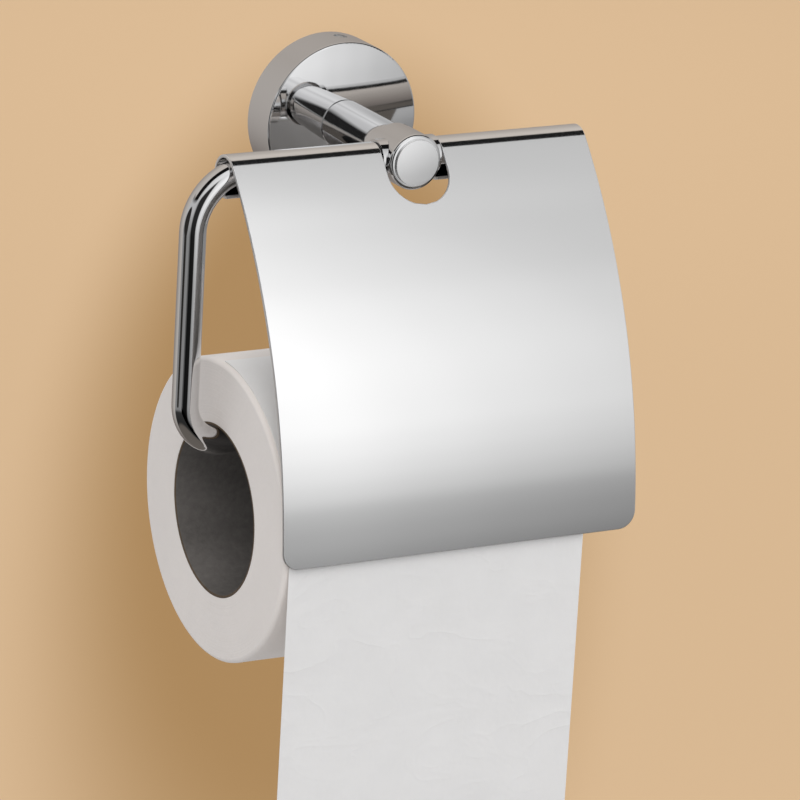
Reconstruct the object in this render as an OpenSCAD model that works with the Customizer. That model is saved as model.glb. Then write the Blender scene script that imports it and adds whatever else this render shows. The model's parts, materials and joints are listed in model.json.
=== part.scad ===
// Wall-mounted toilet paper holder with a hinged sheet-metal cover.
// Millimetres. Origin: wall face, at the centre of the round wall flange.
// +X runs along the wall (the roll's axis), +Y points into the wall, +Z is up.

/* [Wall flange] */
// Outer diameter of the round flange cup
flange_d = 50; // [47:0.5:60]
// How far the cup stands off the wall
flange_depth = 14.5; // [13:0.5:20]
// Thickness of the cup's rim and front
flange_wall = 2.5; // [2:0.1:3.5]
// How far the cup's domed face falls from the post's foot to its edge
flange_dome = 1; // [0.2:0.1:1.4]
// Radius that rounds the cup's front edge
flange_edge_r = 0.8; // [0.3:0.1:1.5]
// How far round from the top the clamping screw sits
screw_turn = 5; // [-90:1:90]

/* [Wall plate] */
// Thickness of the hidden plate that is screwed to the wall
plate_t = 3; // [2:0.2:4]
// Height of the plate's rim from the wall
plate_rim_h = 8; // [7:0.5:11.5]
// Width of the plate's rim
plate_rim_w = 3.5; // [2.5:0.5:5]
// Distance between the two wall screws
screw_spacing = 26; // [18:1:30]
// Clearance hole for a wall screw
screw_hole_d = 4.5; // [3.5:0.1:5]
// Countersunk mouth of a wall screw hole
screw_head_d = 8; // [6.5:0.5:9]

/* [Post] */
// Diameter of the post
post_d = 15; // [13:0.5:17]
// Distance from the rod's centre line to the front of the post's cap
post_nose = 9; // [8.5:0.5:20]
// Chamfer round the post's foot, where it stands on the flange
post_foot = 0.4; // [0.1:0.1:2]
// Diameter of the thicker head at the post's front, which the rod passes through
head_d = 17; // [15:0.5:20]
// Length of the head
head_l = 14.5; // [14:0.5:20]
// Radius that rounds the head's front edge
head_edge_r = 1.2; // [0.4:0.1:2]
// Width of the ledge that the head shows round its cap
cap_ledge = 1.5; // [0.6:0.1:2.5]
// Height of the cap's edge in front of the post
cap_t = 0.8; // [0.6:0.1:1]
// Extra height of the cap's domed middle
cap_dome = 0.3; // [0.2:0.1:1]
// Length of the cap's plug
cap_plug_h = 1.2; // [0.8:0.1:1.4]

/* [Rod] */
// Diameter of the bent rod
rod_d = 8; // [6:0.5:9]
// Distance from the wall to the rod's centre line
rod_reach = 52; // [48:0.5:90]
// Height between the rod's upper and lower bars
rod_drop = 82.5; // [70:0.5:120]
// Centre-line radius of the upper bend
bend_top_r = 17.5; // [10:0.5:26]
// Centre-line radius of the lower bend
bend_low_r = 13; // [8:0.5:30]
// How far the upper bar's end lies inside the cover's right edge
upper_inset = 2.2; // [0:0.2:20]
// How far the lower bar stands out of the roll
lower_overhang = 13.5; // [2:0.5:40]
// Radius that rounds the rod's ends
rod_end_r = 1; // [0.4:0.1:2.5]

/* [Collars] */
// Outer diameter of the two collars beside the post
collar_d = 11.6; // [9:0.1:12.8]
// Length that a collar shows beside the post's head
collar_l = 1.2; // [0.6:0.1:8]

/* [Cover] */
// Width of the cover
cover_w = 118.4; // [60:0.4:160]
// Thickness of the cover's sheet metal
sheet_t = 1; // [0.6:0.1:2]
// Inner radius of the curl that hooks over the rod
curl_r = 5.5; // [4.6:0.1:9]
// Where the curl ends, measured down from the wall side
curl_end = 115; // [60:1:125]
// Outer radius of the cover's bowed front
front_r = 178; // [130:1:400]
// Height of the cover's lower edge below the post's centre
cover_drop = 107; // [50:1:125]
// Radius of the cover's lower corners
corner_r = 5.5; // [1:0.5:20]
// Gap between a collar and the notch in the cover
notch_side = 0.4; // [0.2:0.1:3]
// Height of the gap between the post and the bottom of the notch
notch_under = 2; // [1:0.1:15]

/* [Paper] */
// Width of the paper roll
paper_w = 100; // [60:1:120]
// Outer diameter of the wound paper
paper_d = 91.5; // [58:0.5:100]
// Bore of the cardboard core
core_bore = 51; // [30:0.5:80]
// Thickness of the cardboard core
core_wall = 0.8; // [0.6:0.1:1.5]
// Play between the lower bar and the top of the core's bore
core_play = 0.25; // [0.2:0.05:1]
// Radius that rounds the roll's outer edges
paper_edge_r = 1.5; // [0.5:0.5:4]
// Thickness of the loose sheet, as a plain solid
loose_t = 0.4; // [0.2:0.05:1]
// How far the loose sheet's left edge lies inside the roll's left face
loose_inset = 1.4; // [0:0.2:10]
// How far the loose sheet hangs below the roll's centre
loose_drop = 102; // [10:1:200]

/* [Fasteners] */
// Diameter of the screw that clamps the flange on the plate
clamp_d = 4; // [3:0.5:5]
// Diameter of the screw that clamps the rod in the post
rod_screw_d = 5; // [4:0.5:6]
// Thread diameter of the screw that holds the post
post_screw_d = 6; // [4:0.5:8]
// Length of the post screw in the post
post_screw_bite = 14; // [8:1:20]

/* [Hidden] */

round_fn = 96;      // sides that a round form is drawn with
fit = 0.05;         // gap of a close fit, all round
slide_fit = 0.25;   // gap round the plate's rim, under the flange
paper_gap = 0.3;    // gap between paper and what moves past it
rod_play = 0.25;    // gap between the curl and the rod's upper bend, when the cover is turned
eps = 0.01;
long = 400;         // reach of a cut that goes right through

function to_hundredth(size) = round(size * 100) / 100;

flange_r = flange_d / 2;
cup_r = flange_r - flange_wall;
// The cup's face is part of a ball that passes the post's foot and the start of the rounded edge
face_r = flange_r - flange_edge_r;
face_ball_h = (pow(face_r, 2) - pow(post_d / 2, 2) + pow(flange_dome, 2)) / (2 * flange_dome);
face_ball_r = sqrt(pow(post_d / 2, 2) + pow(face_ball_h, 2));
edge_centre_y = to_hundredth(flange_depth - flange_dome - flange_edge_r) + eps;
plate_r = cup_r - slide_fit;
groove_land = 0.5;      // width of the rim that is left in front of the groove
groove_depth = 1.2;
groove_y = plate_rim_h - clamp_d / 2 - groove_land;
groove_r = plate_r - groove_depth;
countersink_h = (screw_head_d - screw_hole_d) / 2;
clamp_sink = 0.35;      // how far the clamping screw lies below the flange's surface
socket_depth = 1.6;

post_r = post_d / 2;
post_reach = rod_reach + post_nose;
post_front = post_reach - cap_t - cap_dome;
head_r = head_d / 2;
head_from = post_front - head_l;
head_back_edge = 0.3;   // chamfer round the head's back
cap_d = head_d - 2 * cap_ledge;
cap_plug_step = 2;      // how much smaller the cap's plug is, all round
cap_plug_d = cap_d - 2 * cap_plug_step;
post_head_d = 1.7 * post_screw_d;       // usual shares of a button-head screw
post_head_h = 0.55 * post_screw_d;
post_socket_d = 0.7 * post_screw_d;
post_socket_h = 0.6 * post_head_h;
washer_d = 2.1 * post_screw_d;
washer_t = 1;

rod_r = rod_d / 2;
curl_drop = curl_r - rod_r - fit;      // the curl hangs on the top of the rod
curl_z = -curl_drop;
curl_outer = curl_r + sheet_t;

upper_end = cover_w / 2 - upper_inset;
collar_end = head_r + collar_l;

// How far the curl reaches over the upper bend, until the bend's underside leaves it rod_play
bend_top_in = bend_top_r - rod_r;
bend_room = curl_r + curl_drop - rod_r - rod_play;
curl_tuck = sqrt(pow(bend_top_in, 2) - pow(bend_top_in - bend_room, 2));
rod_leg = to_hundredth(cover_w / 2 + bend_top_r - curl_tuck);

core_r = core_bore / 2;
core_outer = core_r + core_wall;
paper_r = paper_d / 2;
roll_z = -rod_drop + rod_r + core_play - core_r;     // the core hangs on the lower bar
// The roll stands as far left as the lower bend lets its core go
bend_low_in = bend_low_r - rod_r;
core_tuck = sqrt(pow(bend_low_in, 2) - pow(bend_low_in - core_play + fit, 2));
roll_x = -rod_leg + bend_low_r - to_hundredth(core_tuck);
loose_r = paper_r + paper_gap;
lower_end = roll_x + paper_w + lower_overhang;

// The bowed front leaves the curl at a tangent and lies on the paper. Its centre is as far
// from both as their circles ask.
curl_to_bow = front_r - curl_outer;
roll_to_bow = front_r - sheet_t - paper_gap - loose_r - loose_t;
curl_to_roll = curl_z - roll_z;
bow_turn = acos((pow(curl_to_bow, 2) + pow(curl_to_roll, 2) - pow(roll_to_bow, 2))
    / (2 * curl_to_bow * curl_to_roll));
bow_y = -rod_reach + curl_to_bow * sin(bow_turn);
bow_z = curl_z - curl_to_bow * cos(bow_turn);
front_slope = 90 - bow_turn;
front_end = asin((-cover_drop - bow_z) / front_r);      // the lower edge, seen from that centre

notch_r = collar_end + notch_side;
notch_low = asin((-head_r - notch_under - bow_z) / front_r);
notch_angle = notch_low + notch_r / front_r * 180 / PI;

// A cylinder from y0 to y1, towards the wall
module bar_y(r, y0, y1) {
    translate([0, y0, 0]) rotate([-90, 0, 0]) cylinder(r = r, h = y1 - y0, $fn = round_fn);
}

// A cylinder from x0 to x1 on the line y, z
module bar_x(r, x0, x1, y = 0, z = 0) {
    translate([x0, y, z]) rotate([0, 90, 0]) cylinder(r = r, h = x1 - x0, $fn = round_fn);
}

// Turns a profile drawn as [radius, height] round the Y axis, with height running away from the wall
module turned_from_wall() {
    rotate([90, 0, 0]) rotate_extrude($fn = round_fn) children();
}

// Extrudes a profile drawn as [y, z] along X, from x0 to x1
module along_x(x0, x1) {
    translate([x0, 0, 0]) rotate([90, 0, 90]) linear_extrude(x1 - x0) children();
}

// A rod lying along X whose right end is rounded
module round_ended_bar(x0, x1, z) {
    bar_l = x1 - x0;
    translate([x0, -rod_reach, z]) rotate([0, 90, 0]) rotate_extrude($fn = round_fn) {
        square([rod_r, bar_l - rod_end_r]);
        square([rod_r - rod_end_r, bar_l]);
        translate([rod_r - rod_end_r, bar_l - rod_end_r]) circle(rod_end_r, $fn = 48);
    }
}

// A hexagon socket, sunk from the origin towards -Z
module hex_socket(across, depth) {
    translate([0, 0, -depth]) cylinder(d = across / cos(30), h = depth + eps, $fn = 6);
}

// The screwed-on plate, with a rim for the flange and a groove for the clamping screw
module wall_plate() {
    color("dimgray") difference() {
        turned_from_wall() difference() {
            square([plate_r, plate_rim_h]);
            translate([-eps, plate_t]) square([plate_r - plate_rim_w + eps, plate_rim_h]);
            translate([groove_r + clamp_d / 2, groove_y]) circle(clamp_d / 2, $fn = 48);
        }
        for (side = [-1, 1]) translate([side * screw_spacing / 2, 0, 0]) {
            bar_y(screw_hole_d / 2, -long, eps);
            translate([0, -plate_t, 0]) rotate([-90, 0, 0])
                cylinder(d1 = screw_head_d, d2 = screw_hole_d, h = countersink_h, $fn = round_fn);
        }
    }
}

// Puts a child that points along +Z at the clamping screw's place in the flange's side
module at_clamp_screw() {
    rotate([0, screw_turn, 0]) translate([0, -groove_y, 0]) children();
}

// The polished cup that hides the plate and carries the post
module wall_flange() {
    color("gainsboro") difference() {
        turned_from_wall() difference() {
            intersection() {
                union() {
                    square([flange_r, edge_centre_y]);
                    square([face_r, flange_depth]);
                    translate([face_r, edge_centre_y]) circle(flange_edge_r, $fn = 48);
                }
                translate([0, flange_depth - face_ball_h]) circle(face_ball_r, $fn = 720);
            }
            translate([-eps, -eps]) square([cup_r + eps, flange_depth - flange_wall + eps]);
        }
        bar_y(post_screw_d / 2 + fit, -long, 0);
        at_clamp_screw() cylinder(r = clamp_d / 2 + fit, h = flange_d, $fn = round_fn);
    }
}

// A headless screw whose round tip sits in the plate's groove
module flange_clamp_screw() {
    shank = groove_r + fit + clamp_d / 2;
    head = flange_r - clamp_sink;
    color("silver") at_clamp_screw() difference() {
        union() {
            translate([0, 0, shank]) sphere(d = clamp_d, $fn = 48);
            translate([0, 0, shank]) cylinder(d = clamp_d, h = head - shank, $fn = round_fn);
        }
        translate([0, 0, head]) hex_socket(clamp_d / 2, socket_depth);
    }
}

// The button-head screw that holds the post on the flange, from behind
module post_screw() {
    seat = flange_depth - flange_wall - washer_t;
    color("silver") difference() {
        union() {
            bar_y(post_screw_d / 2, -flange_depth - post_screw_bite, -seat);
            bar_y(post_head_d / 2, -seat, -seat + post_head_h);
        }
        translate([0, -seat + post_head_h, 0]) rotate([-90, 0, 0])
            hex_socket(post_socket_d, post_socket_h);
    }
}

module post_screw_washer() {
    seat = flange_depth - flange_wall;
    color("lightgray") difference() {
        bar_y(washer_d / 2, -seat, -seat + washer_t);
        bar_y(post_screw_d / 2 + fit, -long, 0);
    }
}

// The straight post, bored across for the rod and from the front for its clamping screw
module post() {
    color("gainsboro") difference() {
        turned_from_wall() {
            polygon([[0, flange_depth], [post_r - post_foot, flange_depth],
                [post_r, flange_depth + post_foot], [post_r, head_from],
                [head_r - head_back_edge, head_from], [head_r, head_from + head_back_edge],
                [head_r, post_front - head_edge_r], [0, post_front - head_edge_r]]);
            translate([0, head_from]) square([head_r - head_edge_r, head_l]);
            translate([head_r - head_edge_r, post_front - head_edge_r]) circle(head_edge_r, $fn = 48);
        }
        bar_x(rod_r + fit, -head_d, head_d, -rod_reach, 0);
        bar_y(rod_screw_d / 2 + fit, -post_reach, -rod_reach);
        bar_y(cap_plug_d / 2 + fit, -post_reach, -post_front + cap_plug_h + fit);
        bar_y(post_screw_d / 2 + fit, -flange_depth - post_screw_bite - 1, 0);
    }
}

// The short headless screw behind the cap, which bites on the rod
module rod_clamp_screw() {
    tip = rod_reach + rod_r + fit;
    head = post_front - cap_plug_h - 2 * fit;
    color("silver") difference() {
        bar_y(rod_screw_d / 2, -head, -tip);
        translate([0, -head, 0]) rotate([90, 0, 0]) hex_socket(rod_screw_d / 2, (head - tip) * 0.7);
    }
}

// The domed cap that closes the post's front
module post_cap() {
    dome_r = (pow(cap_d / 2, 2) + pow(cap_dome, 2)) / (2 * cap_dome);
    color("whitesmoke") turned_from_wall() {
        translate([0, post_front - cap_plug_h]) square([cap_plug_d / 2, cap_plug_h + eps]);
        translate([0, post_front]) square([cap_d / 2, cap_t]);
        intersection() {
            translate([0, post_front + cap_t - eps]) square([cap_d / 2, cap_dome + eps]);
            translate([0, post_front + cap_t + cap_dome - dome_r]) circle(dome_r, $fn = 360);
        }
    }
}

// A quarter bend beside the leg, with its centre at height z, that starts at an angle
module rod_bend(bend_r, z, start) {
    translate([-rod_leg + bend_r, -rod_reach, z]) rotate([90, 0, 0]) rotate([0, 0, start])
        rotate_extrude(angle = 90, $fn = round_fn) translate([bend_r, 0]) circle(rod_r, $fn = 64);
}

// One bar of steel: upper bar through the post, upright leg, lower bar through the roll
module bent_rod() {
    color("gainsboro") {
        round_ended_bar(-rod_leg + bend_top_r, upper_end, 0);
        round_ended_bar(-rod_leg + bend_low_r, lower_end, -rod_drop);
        translate([-rod_leg, -rod_reach, -rod_drop + bend_low_r])
            cylinder(r = rod_r, h = rod_drop - bend_low_r - bend_top_r, $fn = round_fn);
        rod_bend(bend_top_r, -bend_top_r, 90);
        rod_bend(bend_low_r, -rod_drop + bend_low_r, 180);
    }
}

// A ring on the rod, hollowed to sit against the side of the post's head
module collar() {
    difference() {
        bar_x(collar_d / 2, 0, collar_end, -rod_reach, 0);
        bar_x(rod_r + fit, -eps, collar_end + eps, -rod_reach, 0);
        bar_y(head_r + fit, -post_reach, -flange_depth);
    }
}

module left_collar() {
    color("lightgray") mirror([1, 0, 0]) collar();
}

module right_collar() {
    color("lightgray") collar();
}

// A wedge from the origin between two directions, in degrees
module wedge(from, to, reach) {
    steps = 8;
    polygon(concat([[0, 0]], [for (i = [0 : steps]) let (a = from + (to - from) * i / steps)
        [reach * cos(a), reach * sin(a)]]));
}

// The cover's section: bowed front and the curl over the rod. It is drawn round the curl's
// centre with the bow's centre level with it, so both arcs end on one line, then tilted.
module cover_section() {
    translate([-rod_reach, curl_z]) rotate(180 - front_slope) {
        translate([-curl_to_bow, 0]) intersection() {
            difference() {
                circle(front_r, $fn = 720);
                circle(front_r - sheet_t, $fn = 720);
            }
            wedge(0, front_slope - front_end, front_r * 1.1);
        }
        intersection() {
            difference() {
                circle(curl_outer, $fn = round_fn);
                circle(curl_r, $fn = round_fn);
            }
            wedge(front_slope - 180 - curl_end, 0, curl_outer * 2);
        }
    }
}

// What is cut away round the post, square to the sheet
module cover_notch() {
    translate([0, bow_y, bow_z]) rotate([180 - notch_angle, 0, 0]) {
        rotate([-90, 0, 0]) translate([0, 0, front_r - curl_outer])
            cylinder(r = notch_r, h = 2 * curl_outer, $fn = round_fn);
        translate([-notch_r, front_r - 4 * curl_outer, -long]) cube([2 * notch_r, long, long]);
    }
    translate([-notch_r, -rod_reach - curl_outer - eps, curl_z - curl_outer - eps])
        cube([2 * notch_r, 2 * curl_outer + 2 * eps, 2 * curl_outer + 2 * eps]);
}

// A square block with a quarter round left out, for a lower corner on the left
module corner_cut() {
    translate([-cover_w / 2, 0, -cover_drop]) difference() {
        translate([-1, -long, -1]) cube([corner_r + 1, long, corner_r + 1]);
        translate([corner_r, 0, corner_r]) bar_y(corner_r, -long - 1, 1);
    }
}

module cover() {
    color("whitesmoke") difference() {
        along_x(-cover_w / 2, cover_w / 2) cover_section();
        cover_notch();
        corner_cut();
        mirror([1, 0, 0]) corner_cut();
    }
}

module core_tube() {
    color("tan") difference() {
        bar_x(core_outer, roll_x, roll_x + paper_w, -rod_reach, roll_z);
        bar_x(core_r, roll_x - 1, roll_x + paper_w + 1, -rod_reach, roll_z);
    }
}

// The wound paper, with its two outer edges rounded
module paper_roll() {
    color("white") translate([roll_x, -rod_reach, roll_z]) rotate([0, 90, 0]) rotate_extrude($fn = round_fn) {
        translate([core_outer, 0]) square([paper_r - paper_edge_r - core_outer, paper_w]);
        translate([core_outer, paper_edge_r]) square([paper_r - core_outer, paper_w - 2 * paper_edge_r]);
        for (end = [paper_edge_r, paper_w - paper_edge_r])
            translate([paper_r - paper_edge_r, end]) circle(paper_edge_r, $fn = 48);
    }
}

// The last lap of paper over the roll's front, and the sheet that hangs from it
module loose_sheet() {
    color("whitesmoke") along_x(roll_x + loose_inset, roll_x + paper_w)
        translate([-rod_reach, roll_z]) {
            intersection() {
                difference() {
                    circle(loose_r + loose_t, $fn = 180);
                    circle(loose_r, $fn = 180);
                }
                wedge(90, 180, paper_d);
            }
            translate([-loose_r - loose_t, -loose_drop]) square([loose_t, loose_drop]);
        }
}

wall_plate();
wall_flange();
flange_clamp_screw();
post_screw();
post_screw_washer();
post();
rod_clamp_screw();
post_cap();
bent_rod();
left_collar();
right_collar();
cover();
core_tube();
paper_roll();
loose_sheet();
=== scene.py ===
"""Dresses the wall-mounted toilet paper holder: polished metal, bowed cover, paper roll, loose sheet."""
import json
import math
import random

import bpy
from bpy.props import FloatProperty, FloatVectorProperty, IntProperty, PointerProperty
from mathutils import Matrix, Vector, noise


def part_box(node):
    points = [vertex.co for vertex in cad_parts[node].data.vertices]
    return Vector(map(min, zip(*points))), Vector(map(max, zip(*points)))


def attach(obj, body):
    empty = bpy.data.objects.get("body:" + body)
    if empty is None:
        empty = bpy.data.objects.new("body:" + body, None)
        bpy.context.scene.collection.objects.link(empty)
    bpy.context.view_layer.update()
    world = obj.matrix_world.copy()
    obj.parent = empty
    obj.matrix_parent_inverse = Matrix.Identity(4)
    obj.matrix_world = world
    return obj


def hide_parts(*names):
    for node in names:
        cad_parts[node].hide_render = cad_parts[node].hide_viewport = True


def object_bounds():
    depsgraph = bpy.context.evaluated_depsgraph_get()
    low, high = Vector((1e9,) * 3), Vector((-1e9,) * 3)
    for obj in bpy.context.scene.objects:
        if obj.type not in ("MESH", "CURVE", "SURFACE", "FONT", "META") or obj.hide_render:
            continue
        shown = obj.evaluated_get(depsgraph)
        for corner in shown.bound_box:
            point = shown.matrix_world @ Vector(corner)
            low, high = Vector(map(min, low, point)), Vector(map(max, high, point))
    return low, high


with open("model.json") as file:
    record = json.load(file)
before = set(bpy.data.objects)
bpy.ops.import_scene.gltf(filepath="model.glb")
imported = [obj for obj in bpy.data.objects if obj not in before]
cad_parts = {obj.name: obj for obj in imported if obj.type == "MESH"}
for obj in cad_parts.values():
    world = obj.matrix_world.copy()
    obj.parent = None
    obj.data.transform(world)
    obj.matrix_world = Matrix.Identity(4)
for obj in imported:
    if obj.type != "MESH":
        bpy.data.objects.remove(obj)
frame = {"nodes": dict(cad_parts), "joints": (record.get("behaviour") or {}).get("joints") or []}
CAD_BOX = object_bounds()

bl_info = {
    "name": "Toilet Paper Holder",
    "version": (1, 0, 0),
    "blender": (4, 5, 0),
    "location": "View3D > Sidebar > Paper Holder",
    "description": "Builds the finished surfaces of a wall-mounted toilet paper holder with a hinged cover",
    "category": "Object",
}

MM = 0.001
QUARTER_TURN = math.pi / 2
LEFT = Vector((-1, 0, 0))
RIGHT = Vector((1, 0, 0))
DOWN = Vector((0, 0, -1))
FORWARD = Vector((0, -1, 0))   # away from the wall


# ---------------------------------------------------------------- places, from the frame

def joint_axis(name):
    """The point of a joint's axis that lies in the plane through the post, where x is 0."""
    joint = next(j for j in frame["joints"] if j["name"] == name)
    return Vector((0.0, joint["pos_m"][1], joint["pos_m"][2]))


COVER_LOW, COVER_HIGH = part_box("cover")
ROD_LOW, ROD_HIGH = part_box("bent_rod")
ROLL_LOW, ROLL_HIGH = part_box("paper_roll")
CORE_LOW, CORE_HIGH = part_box("core_tube")
SHEET_LOW, SHEET_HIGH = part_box("loose_sheet")
POST_LOW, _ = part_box("post")
CAP_LOW, CAP_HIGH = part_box("post_cap")

ROLL_AXIS = joint_axis("roll_spin")
CURL_AXIS = joint_axis("cover_lift")
ROD_RADIUS = (ROD_HIGH.y - ROD_LOW.y) / 2
ROD_Y = (ROD_HIGH.y + ROD_LOW.y) / 2
PAPER_RADIUS = (ROLL_HIGH.z - ROLL_LOW.z) / 2
CORE_RADIUS = (CORE_HIGH.z - CORE_LOW.z) / 2


# ---------------------------------------------------------------- sizes and colours that a user may change

class CoverSizes(bpy.types.PropertyGroup):
    """Sizes of the cover that its box doesn't give"""
    sheet: FloatProperty(name="Sheet", description="Thickness of the sheet metal", default=1.0 * MM,
                         min=0.5 * MM, max=3 * MM, unit="LENGTH", precision=5)
    edge: FloatProperty(name="Edge", description="Radius that rounds the sheet's cut edges",
                        default=0.28 * MM, min=0.05 * MM, max=0.45 * MM, unit="LENGTH", precision=5)
    bow: FloatProperty(name="Bow", description="Outer radius of the bowed front", default=178 * MM,
                       min=100 * MM, max=500 * MM, unit="LENGTH", precision=4)
    curl: FloatProperty(name="Curl", description="Inner radius of the curl over the rod", default=5.5 * MM,
                        min=4 * MM, max=10 * MM, unit="LENGTH", precision=5)
    curl_end: FloatProperty(name="Curl end", description="Where the curl ends, from the wall side down",
                            default=math.radians(115), subtype="ANGLE")
    corner: FloatProperty(name="Corner", description="Radius of the lower corners", default=5.5 * MM,
                          min=1 * MM, max=20 * MM, unit="LENGTH", precision=5)
    notch: FloatProperty(name="Notch", description="Half the width of the notch round the post",
                         default=10.1 * MM, min=8 * MM, max=14 * MM, unit="LENGTH", precision=5)
    notch_low: FloatProperty(name="Notch low", description="Depth of the notch below the post's centre",
                             default=10.5 * MM, min=8 * MM, max=20 * MM, unit="LENGTH", precision=5)


class RodSizes(bpy.types.PropertyGroup):
    """Sizes of the rod that its box doesn't give"""
    top_bend: FloatProperty(name="Top bend", description="Centre-line radius of the upper bend",
                            default=17.5 * MM, min=8 * MM, max=30 * MM, unit="LENGTH", precision=5)
    low_bend: FloatProperty(name="Low bend", description="Centre-line radius of the lower bend",
                            default=13 * MM, min=8 * MM, max=30 * MM, unit="LENGTH", precision=5)
    upper_end: FloatProperty(name="Upper end", description="Where the upper bar ends, from the post's centre",
                             default=57 * MM, min=20 * MM, max=80 * MM, unit="LENGTH", precision=5)
    lower_end: FloatProperty(name="Lower end", description="Where the lower bar ends, from the post's centre",
                             default=56 * MM, min=20 * MM, max=80 * MM, unit="LENGTH", precision=5)
    end_round: FloatProperty(name="End round", description="Radius that rounds the rod's ends",
                             default=1 * MM, min=0.2 * MM, max=3 * MM, unit="LENGTH", precision=5)


class PostSizes(bpy.types.PropertyGroup):
    """Sizes of the cap in the post's head"""
    cap_dome: FloatProperty(name="Cap dome", description="Height of the cap's domed middle",
                            default=0.3 * MM, min=0.1 * MM, max=1 * MM, unit="LENGTH", precision=5)
    cap_edge: FloatProperty(name="Cap edge", description="Radius that rounds the cap's edge",
                            default=0.12 * MM, min=0.05 * MM, max=0.8 * MM, unit="LENGTH", precision=5)
    plug_step: FloatProperty(name="Plug step", description="How much smaller the cap's plug is, all round",
                             default=2 * MM, min=0.5 * MM, max=4 * MM, unit="LENGTH", precision=5)


class PaperSizes(bpy.types.PropertyGroup):
    """Sizes of the paper roll, its core and its loose sheet"""
    layers: IntProperty(name="Layers", description="Ridges that show on the roll's end faces",
                        default=46, min=8, max=120)
    ridge: FloatProperty(name="Ridge", description="How far the layers stand out from each other at the ends",
                         default=0.07 * MM, min=0, max=1 * MM, unit="LENGTH", precision=6)
    soft_edge: FloatProperty(name="Soft edge", description="Radius that rounds the roll's outer edges",
                             default=1.5 * MM, min=0.2 * MM, max=5 * MM, unit="LENGTH", precision=5)
    dent: FloatProperty(name="Dent", description="How deep the wound paper is dented", default=0.10 * MM,
                        min=0, max=1 * MM, unit="LENGTH", precision=6)
    board: FloatProperty(name="Board", description="Thickness of the core's cardboard", default=0.8 * MM,
                         min=0.3 * MM, max=2 * MM, unit="LENGTH", precision=5)
    board_edge: FloatProperty(name="Board edge", description="Radius that rounds the core's cut edges",
                              default=0.25 * MM, min=0.05 * MM, max=0.4 * MM, unit="LENGTH", precision=5)
    seam: FloatProperty(name="Seam", description="Step at the seam of the core's wound strip",
                        default=0.10 * MM, min=0, max=0.5 * MM, unit="LENGTH", precision=6)
    seam_turns: FloatProperty(name="Seam turns", description="Turns that the seam makes from end to end",
                              default=2.1, min=0, max=6)
    sheet: FloatProperty(name="Sheet", description="Thickness of the loose sheet", default=0.22 * MM,
                         min=0.05 * MM, max=0.5 * MM, unit="LENGTH", precision=6)
    wave: FloatProperty(name="Wave", description="How far the hanging sheet waves", default=0.12 * MM,
                        min=0, max=2 * MM, unit="LENGTH", precision=6)


class Finishes(bpy.types.PropertyGroup):
    """Colours of the finishes"""
    chrome: FloatVectorProperty(name="Chrome", description="Colour of the polished metal", subtype="COLOR",
                                size=3, min=0, max=1, default=(0.705, 0.705, 0.71))
    cover: FloatVectorProperty(name="Cover", description="Colour of the cover's and cap's metal",
                               subtype="COLOR", size=3, min=0, max=1, default=(0.88, 0.88, 0.882))
    steel: FloatVectorProperty(name="Screws", description="Colour of the screws", subtype="COLOR",
                               size=3, min=0, max=1, default=(0.52, 0.52, 0.53))
    zinc: FloatVectorProperty(name="Zinc", description="Colour of the wall plate", subtype="COLOR",
                              size=3, min=0, max=1, default=(0.50, 0.52, 0.54))
    paper: FloatVectorProperty(name="Paper", description="Colour of the loose sheet", subtype="COLOR",
                               size=3, min=0, max=1, default=(0.85, 0.832, 0.815))
    wound: FloatVectorProperty(name="Wound paper", description="Colour of the roll's wound paper",
                               subtype="COLOR", size=3, min=0, max=1, default=(0.85, 0.79, 0.745))
    board: FloatVectorProperty(name="Core", description="Colour of the cardboard core's bore",
                               subtype="COLOR", size=3, min=0, max=1, default=(0.150, 0.138, 0.128))
    board_edge: FloatVectorProperty(name="Core edge", description="Colour of the core's cut edge and outside",
                                    subtype="COLOR", size=3, min=0, max=1, default=(0.115, 0.082, 0.055))
    wall: FloatVectorProperty(name="Backdrop", description="Colour behind the holder", subtype="COLOR",
                              size=3, min=0, max=1, default=(0.479, 0.347, 0.216))
    floor: FloatVectorProperty(name="Floor", description="Colour of the floor", subtype="COLOR",
                               size=3, min=0, max=1, default=(0.80, 0.553, 0.326))
    # Painted shadow: the darker colour painted into the floor's middle, behind the holder, in place of its
    # shadow
    floor_painted_shadow: FloatVectorProperty(name="Floor shade", description="Colour of the floor's shaded middle",
                                     subtype="COLOR", size=3, min=0, max=1, default=(0.48, 0.285, 0.12))


# ---------------------------------------------------------------- node tools

# Inputs that go by number, because their names repeat: the share, the first and the second
COLOUR_MIX = (0, 6, 7)
VALUE_MIX = (0, 2, 3)
SHADER_MIX = (0, 1, 2)


def feed(tree, node, inputs):
    """Fills a node's inputs, by name or number, with fixed values or with other nodes' sockets."""
    for key, value in inputs.items():
        socket = node.inputs[key]
        if isinstance(value, bpy.types.NodeSocket):
            tree.links.new(value, socket)
        else:
            socket.default_value = value


def add(tree, kind, props=None, **inputs):
    """Adds a node, sets its properties and fills its inputs, whose names have _ for a space."""
    node = tree.nodes.new(kind)
    for key, value in (props or {}).items():
        setattr(node, key, value)
    feed(tree, node, {key.replace("_", " "): value for key, value in inputs.items()})
    return node


def ramp(tree, source, stops, interpolation="LINEAR"):
    """The colours that a socket's value picks from a ramp: stops are (place, grey or colour)."""
    node = add(tree, "ShaderNodeValToRGB", Fac=source)
    bar = node.color_ramp
    bar.interpolation = interpolation
    while len(bar.elements) > 1:
        bar.elements.remove(bar.elements[-1])
    for i, (place, colour) in enumerate(stops):
        element = bar.elements[0] if i == 0 else bar.elements.new(place)
        element.position = place
        grey = isinstance(colour, (int, float))
        element.color = (colour, colour, colour, 1) if grey else (*colour, 1)
    return node.outputs["Color"]


def step(tree, source, start, end):
    """0 before start and 1 after end."""
    return add(tree, "ShaderNodeMapRange", Value=source, From_Min=start, From_Max=end).outputs["Result"]


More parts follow.
